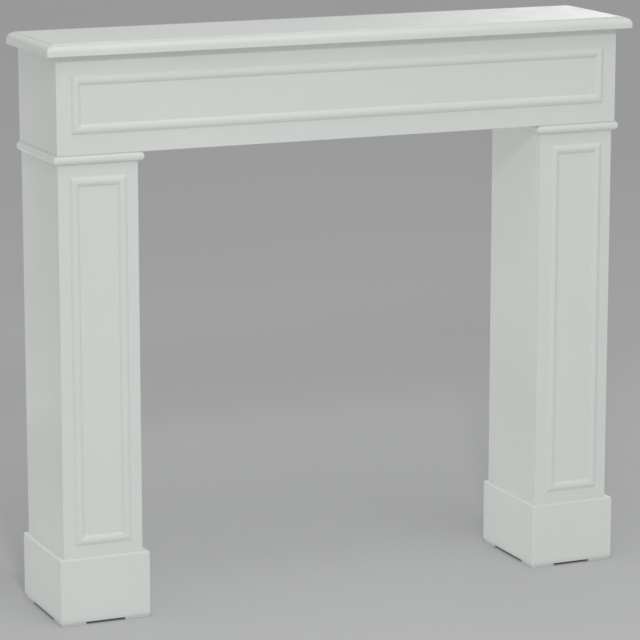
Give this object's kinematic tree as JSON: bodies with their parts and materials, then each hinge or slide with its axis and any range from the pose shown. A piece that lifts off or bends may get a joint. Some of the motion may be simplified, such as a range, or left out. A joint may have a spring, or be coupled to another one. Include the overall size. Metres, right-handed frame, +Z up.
{
  "type": "fireplace mantelpiece",
  "caption": "White painted fire surround: moulded shelf on a panelled header box and two panelled legs with beads and plinths, open at the back.",
  "frame": {"origin": "on the floor, under the middle of the overall width and depth", "axes": "+X to the viewer's right along the shelf, +Y back towards the wall, +Z up; the front faces -Y"},
  "size_m": [1.092, 0.218, 1],
  "materials": {
    "white_paint": "satin white paint on smooth MDF",
    "foot_pad": "matt white"
  },
  "bodies": {
    "root": {"shelf": "white_paint", "header_front_board": "white_paint", "header_left_end_board": "white_paint", "header_right_end_board": "white_paint", "header_panel_top_strip": "white_paint", "header_panel_bottom_strip": "white_paint", "header_panel_left_strip": "white_paint", "header_panel_right_strip": "white_paint", "left_leg_front_board": "white_paint", "left_leg_outer_board": "white_paint", "left_leg_inner_board": "white_paint", "right_leg_front_board": "white_paint", "right_leg_outer_board": "white_paint", "right_leg_inner_board": "white_paint", "left_leg_panel_top_strip": "white_paint", "left_leg_panel_bottom_strip": "white_paint", "left_leg_panel_left_strip": "white_paint", "left_leg_panel_right_strip": "white_paint", "right_leg_panel_top_strip": "white_paint", "right_leg_panel_bottom_strip": "white_paint", "right_leg_panel_left_strip": "white_paint", "right_leg_panel_right_strip": "white_paint", "left_bead_front_strip": "white_paint", "left_bead_outer_strip": "white_paint", "left_bead_inner_strip": "white_paint", "right_bead_front_strip": "white_paint", "right_bead_outer_strip": "white_paint", "right_bead_inner_strip": "white_paint", "left_plinth_front_board": "white_paint", "left_plinth_outer_board": "white_paint", "left_plinth_inner_board": "white_paint", "right_plinth_front_board": "white_paint", "right_plinth_outer_board": "white_paint", "right_plinth_inner_board": "white_paint", "left_foot_pad_front_outer": "foot_pad", "left_foot_pad_front_inner": "foot_pad", "left_foot_pad_back_outer": "foot_pad", "left_foot_pad_back_inner": "foot_pad", "right_foot_pad_front_outer": "foot_pad", "right_foot_pad_front_inner": "foot_pad", "right_foot_pad_back_outer": "foot_pad", "right_foot_pad_back_inner": "foot_pad"}
  },
  "joints": []
}
